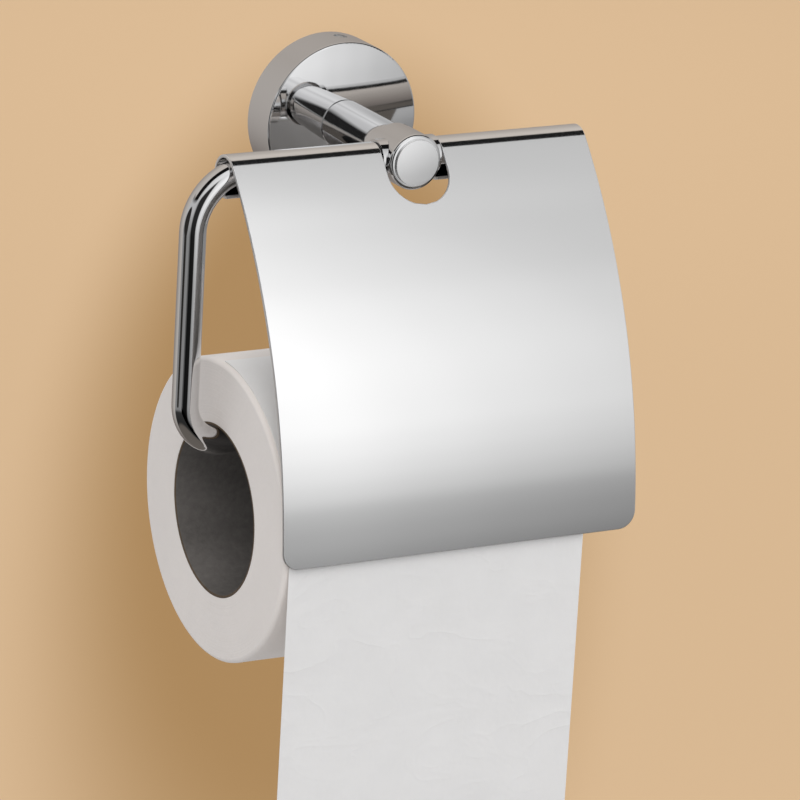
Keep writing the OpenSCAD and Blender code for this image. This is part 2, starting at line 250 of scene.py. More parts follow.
def both(tree, operation, first, second):
    """One value worked out from two."""
    node = add(tree, "ShaderNodeMath", props={"operation": operation})
    feed(tree, node, {0: first, 1: second})
    return node.outputs[0]


def mix(tree, share, first, second):
    """A value, a share of the way from the first to the second."""
    node = add(tree, "ShaderNodeMix", props={"data_type": "FLOAT"})
    feed(tree, node, dict(zip(VALUE_MIX, (share, first, second))))
    return node.outputs[0]


def blend(tree, share, first, second, kind="MIX"):
    """The first colour, changed to the second by a share, or multiplied by it."""
    node = add(tree, "ShaderNodeMix", props={"data_type": "RGBA", "blend_type": kind})
    feed(tree, node, dict(zip(COLOUR_MIX, (share, first, second))))
    return node.outputs[2]


def choose(tree, share, first, second):
    """The first shader, or the second where the share is 1."""
    node = add(tree, "ShaderNodeMixShader")
    feed(tree, node, dict(zip(SHADER_MIX, (share, first, second))))
    return node.outputs[0]


def bump(tree, height, strength, distance, under=None):
    """A normal bumped by a height, on top of another normal where one is given."""
    node = add(tree, "ShaderNodeBump", Height=height, Strength=strength, Distance=distance)
    if under is not None:
        feed(tree, node, {"Normal": under})
    return node.outputs["Normal"]


def parts_of(tree, coordinates):
    """The outputs X, Y and Z of a kind of texture coordinate."""
    place = add(tree, "ShaderNodeTexCoord").outputs[coordinates]
    return add(tree, "ShaderNodeSeparateXYZ", Vector=place).outputs


def on_object(tree, stretch):
    """A place on the object, in metres times the stretch along each axis."""
    place = add(tree, "ShaderNodeTexCoord").outputs["Object"]
    return add(tree, "ShaderNodeMapping", Vector=place, Scale=stretch).outputs["Vector"]


def cloud(tree, stretch=(1, 1, 1), **inputs):
    """Cloudy noise that lies on the object."""
    return add(tree, "ShaderNodeTexNoise", Vector=on_object(tree, stretch), **inputs).outputs["Fac"]


def cells(tree, feature="F1", **inputs):
    """Round cells that lie on the object, dark in their middle."""
    node = add(tree, "ShaderNodeTexVoronoi", props={"feature": feature},
               Vector=on_object(tree, (1, 1, 1)), **inputs)
    return node.outputs["Distance"]


# ---------------------------------------------------------------- finishes

def new_material(name):
    """A material, its node tree and its shader."""
    material = bpy.data.materials.new(name)
    material.use_nodes = True
    tree = material.node_tree
    return material, tree, tree.nodes["Principled BSDF"]


def shade(colour, factor):
    """A colour made darker or lighter."""
    return tuple(min(1, c * factor) for c in colour)


def polished(name, colour, rough, haze, stretch=(900, 900, 900)):
    """Plated or polished metal: faint uneven gloss and the slight ripple that polishing leaves."""
    material, tree, shader = new_material(name)
    smudge = cloud(tree, Scale=38.0, Detail=4.0, Roughness=0.6)
    ripple = cloud(tree, stretch, Scale=1.0, Detail=3.0)
    feed(tree, shader, {
        "Base Color": (*colour, 1),
        "Metallic": 1.0,
        "Roughness": ramp(tree, smudge, [(0.3, rough), (0.75, rough + haze)]),
        "Normal": bump(tree, ripple, 0.015, 0.04 * MM),
    })
    return material


def turned_steel(name, colour):
    """Bright machined steel, for screws and washer."""
    material, tree, shader = new_material(name)
    marks = cloud(tree, (300, 4200, 300), Scale=1.0, Detail=5.0, Roughness=0.7)
    feed(tree, shader, {
        "Base Color": ramp(tree, marks, [(0.3, shade(colour, 0.8)), (0.7, colour)]),
        "Metallic": 1.0,
        "Roughness": ramp(tree, marks, [(0.3, 0.24), (0.7, 0.42)]),
        "Normal": bump(tree, marks, 0.25, 0.03 * MM),
    })
    return material


def zinc_plated(name, colour):
    """The dull, slightly mottled plating of a part that stays hidden."""
    material, tree, shader = new_material(name)
    spangle = cells(tree, Scale=420.0)
    mottle = cloud(tree, Scale=90.0, Detail=5.0)
    tones = [(0.25, shade(colour, 0.72)), (0.7, shade(colour, 1.18))]
    feed(tree, shader, {
        "Base Color": ramp(tree, mix(tree, 0.35, mottle, spangle), tones),
        "Metallic": 1.0,
        "Roughness": ramp(tree, mottle, [(0.3, 0.34), (0.75, 0.52)]),
        "Normal": bump(tree, mottle, 0.2, 0.05 * MM),
    })
    return material


def tissue(name, colour, emboss, crease):
    """Soft paper: loose fibres, a fine emboss, shallow creases and a little light let through."""
    material, tree, shader = new_material(name)
    mottle = cloud(tree, Scale=60.0, Detail=6.0, Roughness=0.62)
    fibres = cloud(tree, (900, 700, 420), Scale=1.0, Detail=6.0, Roughness=0.72)
    dimples = cells(tree, feature="SMOOTH_F1", Scale=emboss)
    folds = cloud(tree, (34, 34, 62), Scale=1.0, Detail=3.0, Roughness=0.45, Distortion=0.6)
    ridges = ramp(tree, folds, [(0.30, 0.0), (0.47, 0.7), (0.50, 1.0), (0.53, 0.7), (0.70, 0.1)])
    creased = bump(tree, ridges, 1.0, crease)
    feed(tree, shader, {
        "Base Color": ramp(tree, mottle, [(0.25, shade(colour, 0.955)), (0.7, colour)]),
        "Roughness": 0.93,
        "Specular IOR Level": 0.18,
        "Sheen Weight": 0.12,
        "Sheen Roughness": 0.6,
        "Subsurface Weight": 0.08,
        "Subsurface Radius": (1.2 * MM, 1.1 * MM, 1.0 * MM),
        "Subsurface Scale": 1.0,
        "Normal": bump(tree, mix(tree, 0.42, fibres, dimples), 0.5, 0.18 * MM, creased),
    })
    return material


def cardboard(name, colour):
    """Grey-brown board with flecks and slow changes of tone."""
    material, tree, shader = new_material(name)
    flecks = cloud(tree, Scale=520.0, Detail=5.0, Roughness=0.7)
    mottle = cloud(tree, (0.5, 1, 1), Scale=48.0, Detail=4.0)
    board = mix(tree, 0.5, flecks, mottle)
    tones = [(0.32, shade(colour, 0.72)), (0.52, colour), (0.72, shade(colour, 1.3))]
    feed(tree, shader, {
        "Base Color": ramp(tree, board, tones),
        "Roughness": 0.88,
        "Specular IOR Level": 0.25,
        "Normal": bump(tree, board, 0.4, 0.12 * MM),
    })
    return material


# The maker of each finish, its colour's name, and the rest of what the maker needs
FINISHES = {
    "chrome_plate": (polished, "chrome", 0.035, 0.02),
    "satin_chrome": (polished, "cover", 0.36, 0.04),
    "polished_sheet": (polished, "cover", 0.08, 0.02, (260, 1600, 1600)),
    "cut_edge": (polished, "cover", 0.40, 0.06),
    "screw_steel": (turned_steel, "steel"),
    "zinc_plate": (zinc_plated, "zinc"),
    "wound_paper": (tissue, "wound", 900.0, 0.0),
    "embossed_paper": (tissue, "paper", 520.0, 0.18 * MM),
    "core_board": (cardboard, "board"),
    "core_cut_edge": (cardboard, "board_edge"),
}


def finish_named(name):
    """The finish of that name, made once."""
    if name in bpy.data.materials:
        return bpy.data.materials[name]
    maker, colour, *rest = FINISHES[name]
    return maker(name, tuple(getattr(bpy.context.scene.holder_finishes, colour)), *rest)


# ---------------------------------------------------------------- mesh tools

def make_piece(name, points, faces, normals, body, finish, replaced=()):
    """A smooth mesh piece on a body, with its own exact normals where they are given."""
    mesh = bpy.data.meshes.new(name)
    mesh.from_pydata([tuple(p) for p in points], [], faces)
    mesh.polygons.foreach_set("use_smooth", [True] * len(mesh.polygons))
    mesh.materials.append(finish_named(finish))
    mesh.validate()
    if normals is not None:
        mesh.normals_split_custom_set_from_vertices([tuple(n) for n in normals])
    mesh.update()
    piece = bpy.data.objects.new(name, mesh)
    bpy.context.scene.collection.objects.link(piece)
    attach(piece, body)
    if replaced:
        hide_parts(*replaced)
    return piece


def mark_sharp(piece, degrees):
    """Shows an edge as sharp where its faces meet at more than an angle."""
    piece.data.set_sharp_from_angle(angle=math.radians(degrees))


def spaced(start, end, steps):
    """Even steps from start to end, both of them included."""
    return [start + (end - start) * i / steps for i in range(steps + 1)]


def angles(count):
    """The angles of a ring's points."""
    return [2 * math.pi * i / count for i in range(count)]


def ring_faces(rings, count, closed=False):
    """Quads between neighbouring rings of count points, and from the last ring to the first if closed."""
    faces = []
    for near in range(rings if closed else rings - 1):
        far = (near + 1) % rings
        for i in range(count):
            j = (i + 1) % count
            faces.append((near * count + i, near * count + j, far * count + j, far * count + i))
    return faces


def without_repeats(corners):
    """A face's corners, each of them once."""
    return [v for i, v in enumerate(corners) if v not in corners[:i]]


def rounded(x, x_way, radius, radius_way, edge, steps):
    """A round corner of a tube, as (x, radius), from its end face to its side: both ways are 1 or -1
    and lead into its wall."""
    return [(x + x_way * edge * (1 - math.cos(t)), radius + radius_way * edge * (1 - math.sin(t)))
            for t in spaced(0, QUARTER_TURN, steps)]


def roll_point(x, radius, angle):
    """A point round the roll's axis."""
    return ROLL_AXIS + Vector((x, radius * math.cos(angle), radius * math.sin(angle)))


def ring_noise(place, angle, grain):
    """Noise that closes on itself round a ring: grain is how fine it is from ring to ring and round one."""
    fine, reach = grain
    return noise.noise(Vector((place * fine, math.cos(angle) * reach, math.sin(angle) * reach)))


# ---------------------------------------------------------------- cover

class CoverForm:
    """The cover's sheet, told by a place across it, a place up it and a depth into it.

    Its section is drawn in y and z: the bowed front, then the curl, which it meets at a tangent. A place
    up the sheet is a length along the outer face, from the lower edge to the curl's end.
    """
    HALVINGS = 60
    SLOPES = (math.radians(20), math.radians(60))   # the least and most slope where bow and curl meet
    COLUMNS = 40                                    # of the grid, on each side of the notch
    ROUNDING = 1e-8                                 # places closer than this are the same
    # Rows of the grid along the lower corner, the front up to the notch, the notch's round bottom, the
    # rest of the front and the curl
    ROWS = (8, 56, 14, 6, 48)
    # Ways that the outline faces, as parts across the sheet and up it
    UPWARD, DOWNWARD = Vector((0, 1)), Vector((0, -1))
    RIGHTWARD, LEFTWARD = Vector((1, 0)), Vector((-1, 0))

    def __init__(self, sizes):
        self.sizes = sizes
        self.outer = sizes.curl + sizes.sheet
        self.curl = Vector((CURL_AXIS.y, CURL_AXIS.z))
        self.slope = self.slope_to_box()
        self.centre = self.bow_centre(self.slope)
        self.low_turn = math.asin((COVER_LOW.z - self.centre.y) / sizes.bow)
        self.front_length = sizes.bow * (self.slope - self.low_turn)
        self.length = self.front_length + self.outer * (math.pi - self.slope + sizes.curl_end)
        self.half = (COVER_HIGH.x - COVER_LOW.x) / 2
        notch_turn = math.asin((-sizes.notch_low - self.centre.y) / sizes.bow)
        self.notch_up = sizes.bow * (notch_turn - self.low_turn)
        self.notch_middle = self.notch_up + sizes.notch
        self.notch_reach = sizes.notch + sizes.edge

    def bow_centre(self, slope):
        """The bow's centre, where the bow meets the curl at that slope."""
        reach = self.sizes.bow - self.outer
        return Vector((self.curl.x + reach * math.cos(slope), self.curl.y - reach * math.sin(slope)))

    def slope_to_box(self):
        """The slope that brings the lower edge to its box's front: a steeper one carries it further out."""
        flat, steep = self.SLOPES
        for _ in range(self.HALVINGS):
            slope = (flat + steep) / 2
            centre = self.bow_centre(slope)
            front = centre.x - math.sqrt(self.sizes.bow ** 2 - (COVER_LOW.z - centre.y) ** 2)
            flat, steep = (flat, slope) if front < COVER_LOW.y else (slope, steep)
        if abs(front - COVER_LOW.y) > MM:
            raise RuntimeError("a bow of this radius doesn't reach from the curl to the lower edge")
        return slope

    def turn(self, up):
        """The outer face's direction at a place up the sheet, and the centre and radius it turns about."""
        if up <= self.front_length:
            return math.pi - (self.low_turn + up / self.sizes.bow), self.centre, self.sizes.bow
        return math.pi - self.slope - (up - self.front_length) / self.outer, self.curl, self.outer

    def point(self, across, up, depth):
        angle, centre, radius = self.turn(up)
        away = radius - depth
        return Vector((across, centre.x + away * math.cos(angle), centre.y + away * math.sin(angle)))

    def normal(self, up):
        """The way out of the outer face."""
        angle = self.turn(up)[0]
        return Vector((0, math.cos(angle), math.sin(angle)))

    def along(self, up):
        """The way up the sheet."""
        angle = self.turn(up)[0]
        return Vector((0, math.sin(angle), -math.cos(angle)))

    def side(self, up):
        """The grid's right border at a place up the sheet, and the way it faces."""
        sizes = self.sizes
        if up >= sizes.corner:
            return self.half - sizes.edge, self.RIGHTWARD
        away = sizes.corner - up
        reach = math.sqrt(max((sizes.corner - sizes.edge) ** 2 - away ** 2, 0.0))
        return self.half - sizes.corner + reach, Vector((reach, -away)).normalized()

    def notch(self, up):
        """The grid's border right of the notch at a place up the sheet, and the way it faces."""
        if up >= self.notch_middle:
            return self.notch_reach, self.LEFTWARD
        away = self.notch_middle - up
        if away > self.notch_reach - self.ROUNDING:
            return 0.0, self.UPWARD
        reach = math.sqrt(self.notch_reach ** 2 - away ** 2)
        return reach, Vector((-reach, away)).normalized()

    def rows(self):
        """Places up the sheet for the grid's rows, close together where the outline bends."""
        corner, notch, edge = self.sizes.corner, self.sizes.notch, self.sizes.edge
        in_corner, below_notch, in_notch, above_notch, in_curl = self.ROWS
        rows = [edge + (corner - edge) * (1 - math.cos(t)) for t in spaced(0, QUARTER_TURN, in_corner)]
        rows += spaced(corner, self.notch_up + edge, below_notch)[1:]
        rows += [self.notch_middle - (notch - edge) * math.cos(t)
                 for t in spaced(0, QUARTER_TURN, in_notch)[1:]]
        rows += spaced(self.notch_middle, self.front_length, above_notch)[1:]
        rows += spaced(self.front_length, self.length - edge, in_curl)[1:]
        rows.append(self.notch_middle - self.notch_reach)
        return sorted(set(round(up, 9) for up in rows))

    def outline(self, rows):
        """The grid's border, once round: the place across, the place up, and the way it faces."""
        low, top = rows[0], rows[-1]
        notch_bottom = self.notch_middle - self.notch_reach - self.ROUNDING
        half = [(self.side(up)[0], up, self.side(up)[1]) for up in rows]
        half += [(across, top, self.UPWARD)
                 for across in spaced(self.side(top)[0], self.notch(top)[0], self.COLUMNS)]
        half += [(self.notch(up)[0], up, self.notch(up)[1]) for up in reversed(rows) if up >= notch_bottom]
        mirrored = [(-across, up, Vector((-way.x, way.y)))
                    for across, up, way in reversed(half) if across > self.ROUNDING]
        reach = self.side(low)[0]
        lower = [(across, low, self.DOWNWARD) for across in spaced(-reach, reach, 2 * self.COLUMNS)[1:-1]]
        return half + mirrored + lower


class CoverMesh:
    """The cover's points, normals and faces: a grid on each face of the sheet, and a rim round them."""
    RIM_STEPS = 4
    SAME_PLACE = 1e-9

    def __init__(self, form):
        self.form = form
        self.points, self.normals, self.faces = [], [], []
        rows = form.rows()
        self.add_grid(rows, 0.0, 1)
        self.add_grid(rows, form.sizes.sheet, -1)
        self.grid_faces = len(self.faces)
        self.add_rim(form.outline(rows))

    def put(self, across, up, depth, normal):
        self.points.append(self.form.point(across, up, depth))
        self.normals.append(normal)
        return len(self.points) - 1

    def add_grid(self, rows, depth, facing):
        """One face of the sheet, in halves that share the points below the notch."""
        form, placed = self.form, {}
        for hand in (-1, 1):
            grid = []
            for up in rows:
                line = []
                for place in spaced(form.notch(up)[0], form.side(up)[0], form.COLUMNS):
                    across = hand * place
                    key = (round(across, 8), round(up, 8))
                    if key not in placed:
                        placed[key] = self.put(across, up, depth, form.normal(up) * facing)
                    line.append(placed[key])
                grid.append(line)
            for low, high in zip(grid, grid[1:]):
                for c in range(form.COLUMNS):
                    corners = without_repeats([low[c], low[c + 1], high[c + 1], high[c]])
                    if len(corners) < 3:
                        continue
                    if hand * facing < 0:
                        corners.reverse()
                    self.faces.append(corners)

    def add_rim(self, outline):
        """The rounded cut edge, from the outer grid's border to the inner grid's."""
        form, edge, sheet = self.form, self.form.sizes.edge, self.form.sizes.sheet
        turns = [(t, 1) for t in spaced(0, QUARTER_TURN, self.RIM_STEPS)]
        turns += [(t, -1) for t in spaced(QUARTER_TURN, 0, self.RIM_STEPS)]
        rings = []
        for across, up, way in outline:
            ring = []
            for t, facing in turns:
                out, sink = edge * math.sin(t), edge * (1 - math.cos(t))
                up_there = up + way.y * out
                flat = RIGHT * way.x + form.along(up_there) * way.y
                normal = flat * math.sin(t) + form.normal(up_there) * math.cos(t) * facing
                ring.append(self.put(across + way.x * out, up_there, sink if facing > 0 else sheet - sink,
                                     normal.normalized()))
            rings.append(ring)
        for ring, following in zip(rings, rings[1:] + rings[:1]):
            for k in range(len(turns) - 1):
                corners = [ring[k], ring[k + 1], following[k + 1], following[k]]
                self.faces.append(self.without_point_twice(corners))

    def without_point_twice(self, corners):
        """A rim face's corners, without one of two that lie in one place at a square corner."""
        for near, far in ((0, 3), (1, 2)):
            if (self.points[corners[near]] - self.points[corners[far]]).length < self.SAME_PLACE:
                return corners[:far] + corners[far + 1:]
        return corners


class HOLDER_OT_cover(bpy.types.Operator):
    """Builds the bowed cover, with its curl, notch and rounded corners"""
    bl_idname = "paper_holder.cover"
    bl_label = "Cover"

    def execute(self, context):
        cover = CoverMesh(CoverForm(context.scene.holder_cover))
        piece = make_piece("cover_sheet", cover.points, cover.faces, cover.normals, "cover",
                           "polished_sheet", ("cover",))
        piece.data.materials.append(finish_named("cut_edge"))
        for polygon in piece.data.polygons[cover.grid_faces:]:
            polygon.material_index = 1
        return {"FINISHED"}


# ---------------------------------------------------------------- rod

# Sections along a bar, the leg, the upper bend, the lower bend and a rounded end
BAR_STEPS, LEG_STEPS, TOP_STEPS, LOW_STEPS, END_STEPS = 12, 8, 24, 22, 5


def rod_stations(sizes):
    """Sections along the rod: centre, the way on, radius, and how far the surface's normal leans."""
    radius, end = ROD_RADIUS, sizes.end_round
    top, low, leg = ROD_HIGH.z - radius, ROD_LOW.z + radius, ROD_LOW.x + radius
    top_bend, low_bend = sizes.top_bend, sizes.low_bend
    upper_end, lower_end = sizes.upper_end - end, sizes.lower_end - end
    leg_top, leg_low = top - top_bend, low + low_bend
    stations = []

    def station(x, z, way, size=radius, lean=0.0):
        stations.append((Vector((x, ROD_Y, z)), way, size, lean))

    for t in spaced(QUARTER_TURN, 0, END_STEPS):
        station(upper_end + end * math.sin(t), top, LEFT, radius - end + end * math.cos(t), -t)
    for x in spaced(upper_end, leg + top_bend, BAR_STEPS)[1:]:
        station(x, top, LEFT)
    for t in spaced(0, QUARTER_TURN, TOP_STEPS)[1:]:
        station(leg + top_bend * (1 - math.sin(t)), leg_top + top_bend * math.cos(t),
                Vector((-math.cos(t), 0, -math.sin(t))))
    for z in spaced(leg_top, leg_low, LEG_STEPS)[1:]:
        station(leg, z, DOWN)
    for t in spaced(0, QUARTER_TURN, LOW_STEPS)[1:]:
        station(leg + low_bend * (1 - math.cos(t)), leg_low - low_bend * math.sin(t),
                Vector((math.sin(t), 0, -math.cos(t))))
    for x in spaced(leg + low_bend, lower_end, BAR_STEPS)[1:]:
        station(x, low, RIGHT)
    for t in spaced(0, QUARTER_TURN, END_STEPS)[1:]:
        station(lower_end + end * math.sin(t), low, RIGHT, radius - end + end * math.cos(t), t)
    return stations


class HOLDER_OT_rod(bpy.types.Operator):
    """Sweeps the bent rod along its bars and bends"""
    bl_idname = "paper_holder.rod"
    bl_label = "Rod"
    COUNT = 64

    def execute(self, context):
        stations = rod_stations(context.scene.holder_rod)
        points, normals = [], []
        for centre, way, size, lean in stations:
            sideways = way.cross(FORWARD)
            for t in angles(self.COUNT):
                away = FORWARD * math.cos(t) + sideways * math.sin(t)
                points.append(centre + away * size)
                normals.append((away * math.cos(lean) + way * math.sin(lean)).normalized())
        faces = ring_faces(len(stations), self.COUNT)
        last_ring = (len(stations) - 1) * self.COUNT
        for (centre, way, *_), first, sign in ((stations[0], 0, -1), (stations[-1], last_ring, 1)):
            hub = len(points)
            rim = [point.copy() for point in points[first:first + self.COUNT]]
            points += [centre] + rim
            normals += [way * sign] * (self.COUNT + 1)
            for i in range(self.COUNT):
                near, far = hub + 1 + i, hub + 1 + (i + 1) % self.COUNT
                faces.append((hub, near, far) if sign > 0 else (hub, far, near))
        make_piece("bent_rod_bar", points, faces, normals, "frame",
                   "chrome_plate", ("bent_rod",))
        return {"FINISHED"}


# ---------------------------------------------------------------- cap

def turned(runs, count):
    """A form turned round the post's axis, from runs of (radius, y, radial and y part of the normal)."""
    points, normals, faces = [], [], []
    for run in runs:
        rings = []
        for radius, y, out, along in run:
            places = count if radius > 0 else 1
            rings.append([len(points) + i % places for i in range(count)])
            for t in angles(count)[:places]:
                points.append(Vector((radius * math.sin(t), y, radius * math.cos(t))))
                normals.append(Vector((out * math.sin(t), along, out * math.cos(t))))
        for near, far in zip(rings, rings[1:]):
            for i in range(count):
                j = (i + 1) % count
                faces.append(without_repeats([near[i], near[j], far[j], far[i]]))
    return points, normals, faces


class HOLDER_OT_cap(bpy.types.Operator):
    """Turns the domed cap in the head's front, with its plug"""
    bl_idname = "paper_holder.cap"
    bl_label = "Cap"
    COUNT, DOME_STEPS, EDGE_STEPS = 192, 24, 8

    def execute(self, context):
        sizes = context.scene.holder_post
        edge, dome = sizes.cap_edge, sizes.cap_dome
        radius = (CAP_HIGH.x - CAP_LOW.x) / 2
        plug = radius - sizes.plug_step
        apex, back, seat = CAP_LOW.y, CAP_HIGH.y, POST_LOW.y
        ball = (radius ** 2 + dome ** 2) / (2 * dome)
        lean = math.asin((radius - edge) / (ball - edge))
        edge_y = apex + ball - (ball - edge) * math.cos(lean)
        front = [(ball * math.sin(t), apex + ball - ball * math.cos(t), math.sin(t), -math.cos(t))
                 for t in spaced(0, lean, self.DOME_STEPS)]
        front += [(radius - edge + edge * math.sin(t), edge_y - edge * math.cos(t), math.sin(t), -math.cos(t))
                  for t in spaced(lean, QUARTER_TURN, self.EDGE_STEPS)[1:]]
        front.append((radius, seat, 1, 0))
        runs = [
            front,
            [(radius, seat, 0, 1), (plug, seat, 0, 1)],
            [(plug, seat, 1, 0), (plug, back, 1, 0)],
            [(plug, back, 0, 1), (plug / 2, back, 0, 1), (0, back, 0, 1)],
        ]
        points, normals, faces = turned(runs, self.COUNT)
        make_piece("post_cap_disc", points, faces, normals, "frame",
                   "satin_chrome", ("post_cap",))
        return {"FINISHED"}


# ---------------------------------------------------------------- paper

class HOLDER_OT_core(bpy.types.Operator):
    """Builds the cardboard core, wound from a strip, so that a seam runs round it"""
    bl_idname = "paper_holder.core"
    bl_label = "Core"
    COUNT, LENGTHS, EDGE_STEPS = 160, 100, 3
    SEAM_WIDTH = 0.055          # in radians
    UNEVEN = 0.25               # of the seam's step
    UNEVEN_GRAIN = (60, 2)

    def bore(self, sizes, x, radius, angle):
        """The bore's radius, with the seam and a slight unevenness."""
        share = (x - CORE_LOW.x) / (CORE_HIGH.x - CORE_LOW.x)
        past_seam = (angle - 2 * math.pi * sizes.seam_turns * share) % (2 * math.pi)
        step_there = max(0.0, 1 - past_seam / self.SEAM_WIDTH)
        return radius + sizes.seam * (step_there + self.UNEVEN * ring_noise(x, angle, self.UNEVEN_GRAIN))

    def execute(self, context):
        sizes = context.scene.holder_paper
        edge, outer = sizes.board_edge, CORE_RADIUS
        inner = outer - sizes.board
        x0, x1 = CORE_LOW.x, CORE_HIGH.x
        left_in = rounded(x0, 1, inner, 1, edge, self.EDGE_STEPS)[:-1]
        bore = [(x, inner) for x in spaced(x0 + edge, x1 - edge, self.LENGTHS)]
        right_in = rounded(x1, -1, inner, 1, edge, self.EDGE_STEPS)[:-1][::-1]
        inside = left_in + bore + right_in
        outside = rounded(x1, -1, outer, -1, edge, self.EDGE_STEPS)
        outside += rounded(x0, 1, outer, -1, edge, self.EDGE_STEPS)[::-1]
        points = [roll_point(x, self.bore(sizes, x, radius, t), t) for x, radius in inside
                  for t in angles(self.COUNT)]
        points += [roll_point(x, radius, t) for x, radius in outside for t in angles(self.COUNT)]
        faces = [face[::-1] for face in ring_faces(len(inside + outside), self.COUNT, closed=True)]
        piece = make_piece("core_board_tube", points, faces, None, "roll",
                           "core_board", ("core_tube",))
        piece.data.materials.append(finish_named("core_cut_edge"))
        bore_rings = range(len(left_in), len(left_in) + len(bore) - 1)
        for polygon in piece.data.polygons:
            polygon.material_index = 0 if min(polygon.vertices) // self.COUNT in bore_rings else 1
        mark_sharp(piece, degrees=50)
        return {"FINISHED"}


class HOLDER_OT_roll(bpy.types.Operator):
    """Builds the wound paper, whose layers show on its ends"""
    bl_idname = "paper_holder.roll"
    bl_label = "Paper roll"
    COUNT, LENGTHS, EDGE_STEPS = 192, 40, 6
    # How deep a valley between layers and a layer's crest lie: the least, and by how much that varies
    VALLEY = (0.35, 0.65)
    CREST = (0.0, 0.1)
    # Noise that deepens a layer, and that sinks all of them together
    DEEPENED, SUNK = 0.5, 0.4
    LAYER_GRAIN, DENT_GRAIN = (420, 1.2), (45, 2.5)

    def end_face(self, sizes):
        """The roll's end from the core outwards, as radius and depth: a valley and a crest by turns."""
        rng = random.Random(7)
        face = []
        for k, radius in enumerate(spaced(CORE_RADIUS, PAPER_RADIUS - sizes.soft_edge, 2 * sizes.layers)):
            least, more = self.VALLEY if k % 2 else self.CREST
            face.append((radius, sizes.ridge * (least + more * rng.random())))
        return face

    def execute(self, context):
        sizes = context.scene.holder_paper
        soft = sizes.soft_edge
        x0, x1 = ROLL_LOW.x, ROLL_HIGH.x
        face = self.end_face(sizes)
        # Rings of x, radius, the way into the roll on its two ends, and the depth there
        rings = [(x0, radius, 1, sink) for radius, sink in face]
        side = rounded(x0, 1, PAPER_RADIUS, -1, soft, self.EDGE_STEPS)[1:]
        side += [(x, PAPER_RADIUS) for x in spaced(x0 + soft, x1 - soft, self.LENGTHS)[1:-1]]
        side += rounded(x1, -1, PAPER_RADIUS, -1, soft, self.EDGE_STEPS)[1:][::-1]
        rings += [(x, radius, 0, 0.0) for x, radius in side]
        rings += [(x1, radius, -1, sink) for radius, sink in reversed(face)]
        points = []
        for x, radius, inward, sink in rings:
            for t in angles(self.COUNT):
                if inward:
                    wander = ring_noise(radius, t, self.LAYER_GRAIN)
                    depth = sink * (1 + self.DEEPENED * wander) + sizes.ridge * self.SUNK * abs(wander)
                    points.append(roll_point(x + inward * depth, radius, t))
                else:
                    dent = sizes.dent * abs(ring_noise(x, t, self.DENT_GRAIN))
                    points.append(roll_point(x, radius - dent, t))
        faces = ring_faces(len(rings), self.COUNT, closed=True)
        make_piece("wound_paper_roll", points, faces, None, "roll",
                   "wound_paper", ("paper_roll",))
        return {"FINISHED"}


class HOLDER_OT_loose_sheet(bpy.types.Operator):
    """Builds the last lap of paper and the sheet that hangs from it"""
    bl_idname = "paper_holder.loose_sheet"
    bl_label = "Loose sheet"
    ACROSS, ALONG = 96, 170     # steps of the grid
    WAVES_FROM = 0.35           # of the drop: from here down the waves have their full size
    # Waves: how many across the sheet, how many to a metre down it, a seed, and their size
    WAVES = ((2.3, 14, 3.1, 1.0), (7.0, 50, 9.7, 0.3))

    def execute(self, context):
        sizes = context.scene.holder_paper
        x0, x1 = SHEET_LOW.x, SHEET_HIGH.x
        radius = PAPER_RADIUS + sizes.sheet
        drop = ROLL_AXIS.z - SHEET_LOW.z
        lap = radius * QUARTER_TURN
        length = lap + drop

        def middle(across, down):
            """A point halfway through the sheet, and the way that the sheet faces there."""
            x = x0 + (x1 - x0) * across
            if down < lap:
                t = QUARTER_TURN + down / radius
                return roll_point(x, radius, t), Vector((0, math.cos(t), math.sin(t)))
            hang = down - lap
            wave = sum(noise.noise(Vector((across * wide, hang * high, seed))) * size
                       for wide, high, seed, size in self.WAVES)
            wave *= sizes.wave * min(1.0, hang / (self.WAVES_FROM * drop))
            return Vector((x, ROLL_AXIS.y - radius, ROLL_AXIS.z - hang)) + FORWARD * wave, FORWARD

        points = []
        for depth in (sizes.sheet / 2, -sizes.sheet / 2):
            for down in spaced(0, length, self.ALONG):
                for across in spaced(0, 1, self.ACROSS):
                    centre, away = middle(across, down)
                    points.append(centre + away * depth)
        faces = self.sheet_faces()
        piece = make_piece("hanging_sheet", points, faces, None, "paper",
                           "embossed_paper", ("loose_sheet",))
        mark_sharp(piece, degrees=60)
        return {"FINISHED"}

    def sheet_faces(self):
        """Quads of the front and back grid, and of the edge between them."""
        row = self.ACROSS + 1
        layer = row * (self.ALONG + 1)
        faces = []
        for down in range(self.ALONG):
            for across in range(self.ACROSS):
                i = down * row + across
                quad = (i, i + row, i + row + 1, i + 1)
                faces += [quad, tuple(v + layer for v in reversed(quad))]
        border = list(range(row))
        border += [down * row + self.ACROSS for down in range(1, self.ALONG + 1)]
        border += [self.ALONG * row + across for across in range(self.ACROSS - 1, -1, -1)]
        border += [down * row for down in range(self.ALONG - 1, 0, -1)]
        faces += [(v, w, w + layer, v + layer) for v, w in zip(border, border[1:] + border[:1])]
        return faces


# ---------------------------------------------------------------- finishes on the CAD solids

# The solids that show, and then those that a piece above stands for
SOLID_FINISHES = {
    "wall_flange": "chrome_plate",
    "post": "chrome_plate",
    "left_collar": "chrome_plate",
    "right_collar": "chrome_plate",
    "wall_plate": "zinc_plate",
    "flange_clamp_screw": "screw_steel",
    "post_screw": "screw_steel",
    "post_screw_washer": "screw_steel",
    "rod_clamp_screw": "screw_steel",
    "post_cap": "satin_chrome",
    "bent_rod": "chrome_plate",
    "cover": "polished_sheet",
    "core_tube": "core_board",
    "paper_roll": "wound_paper",
    "loose_sheet": "embossed_paper",
}


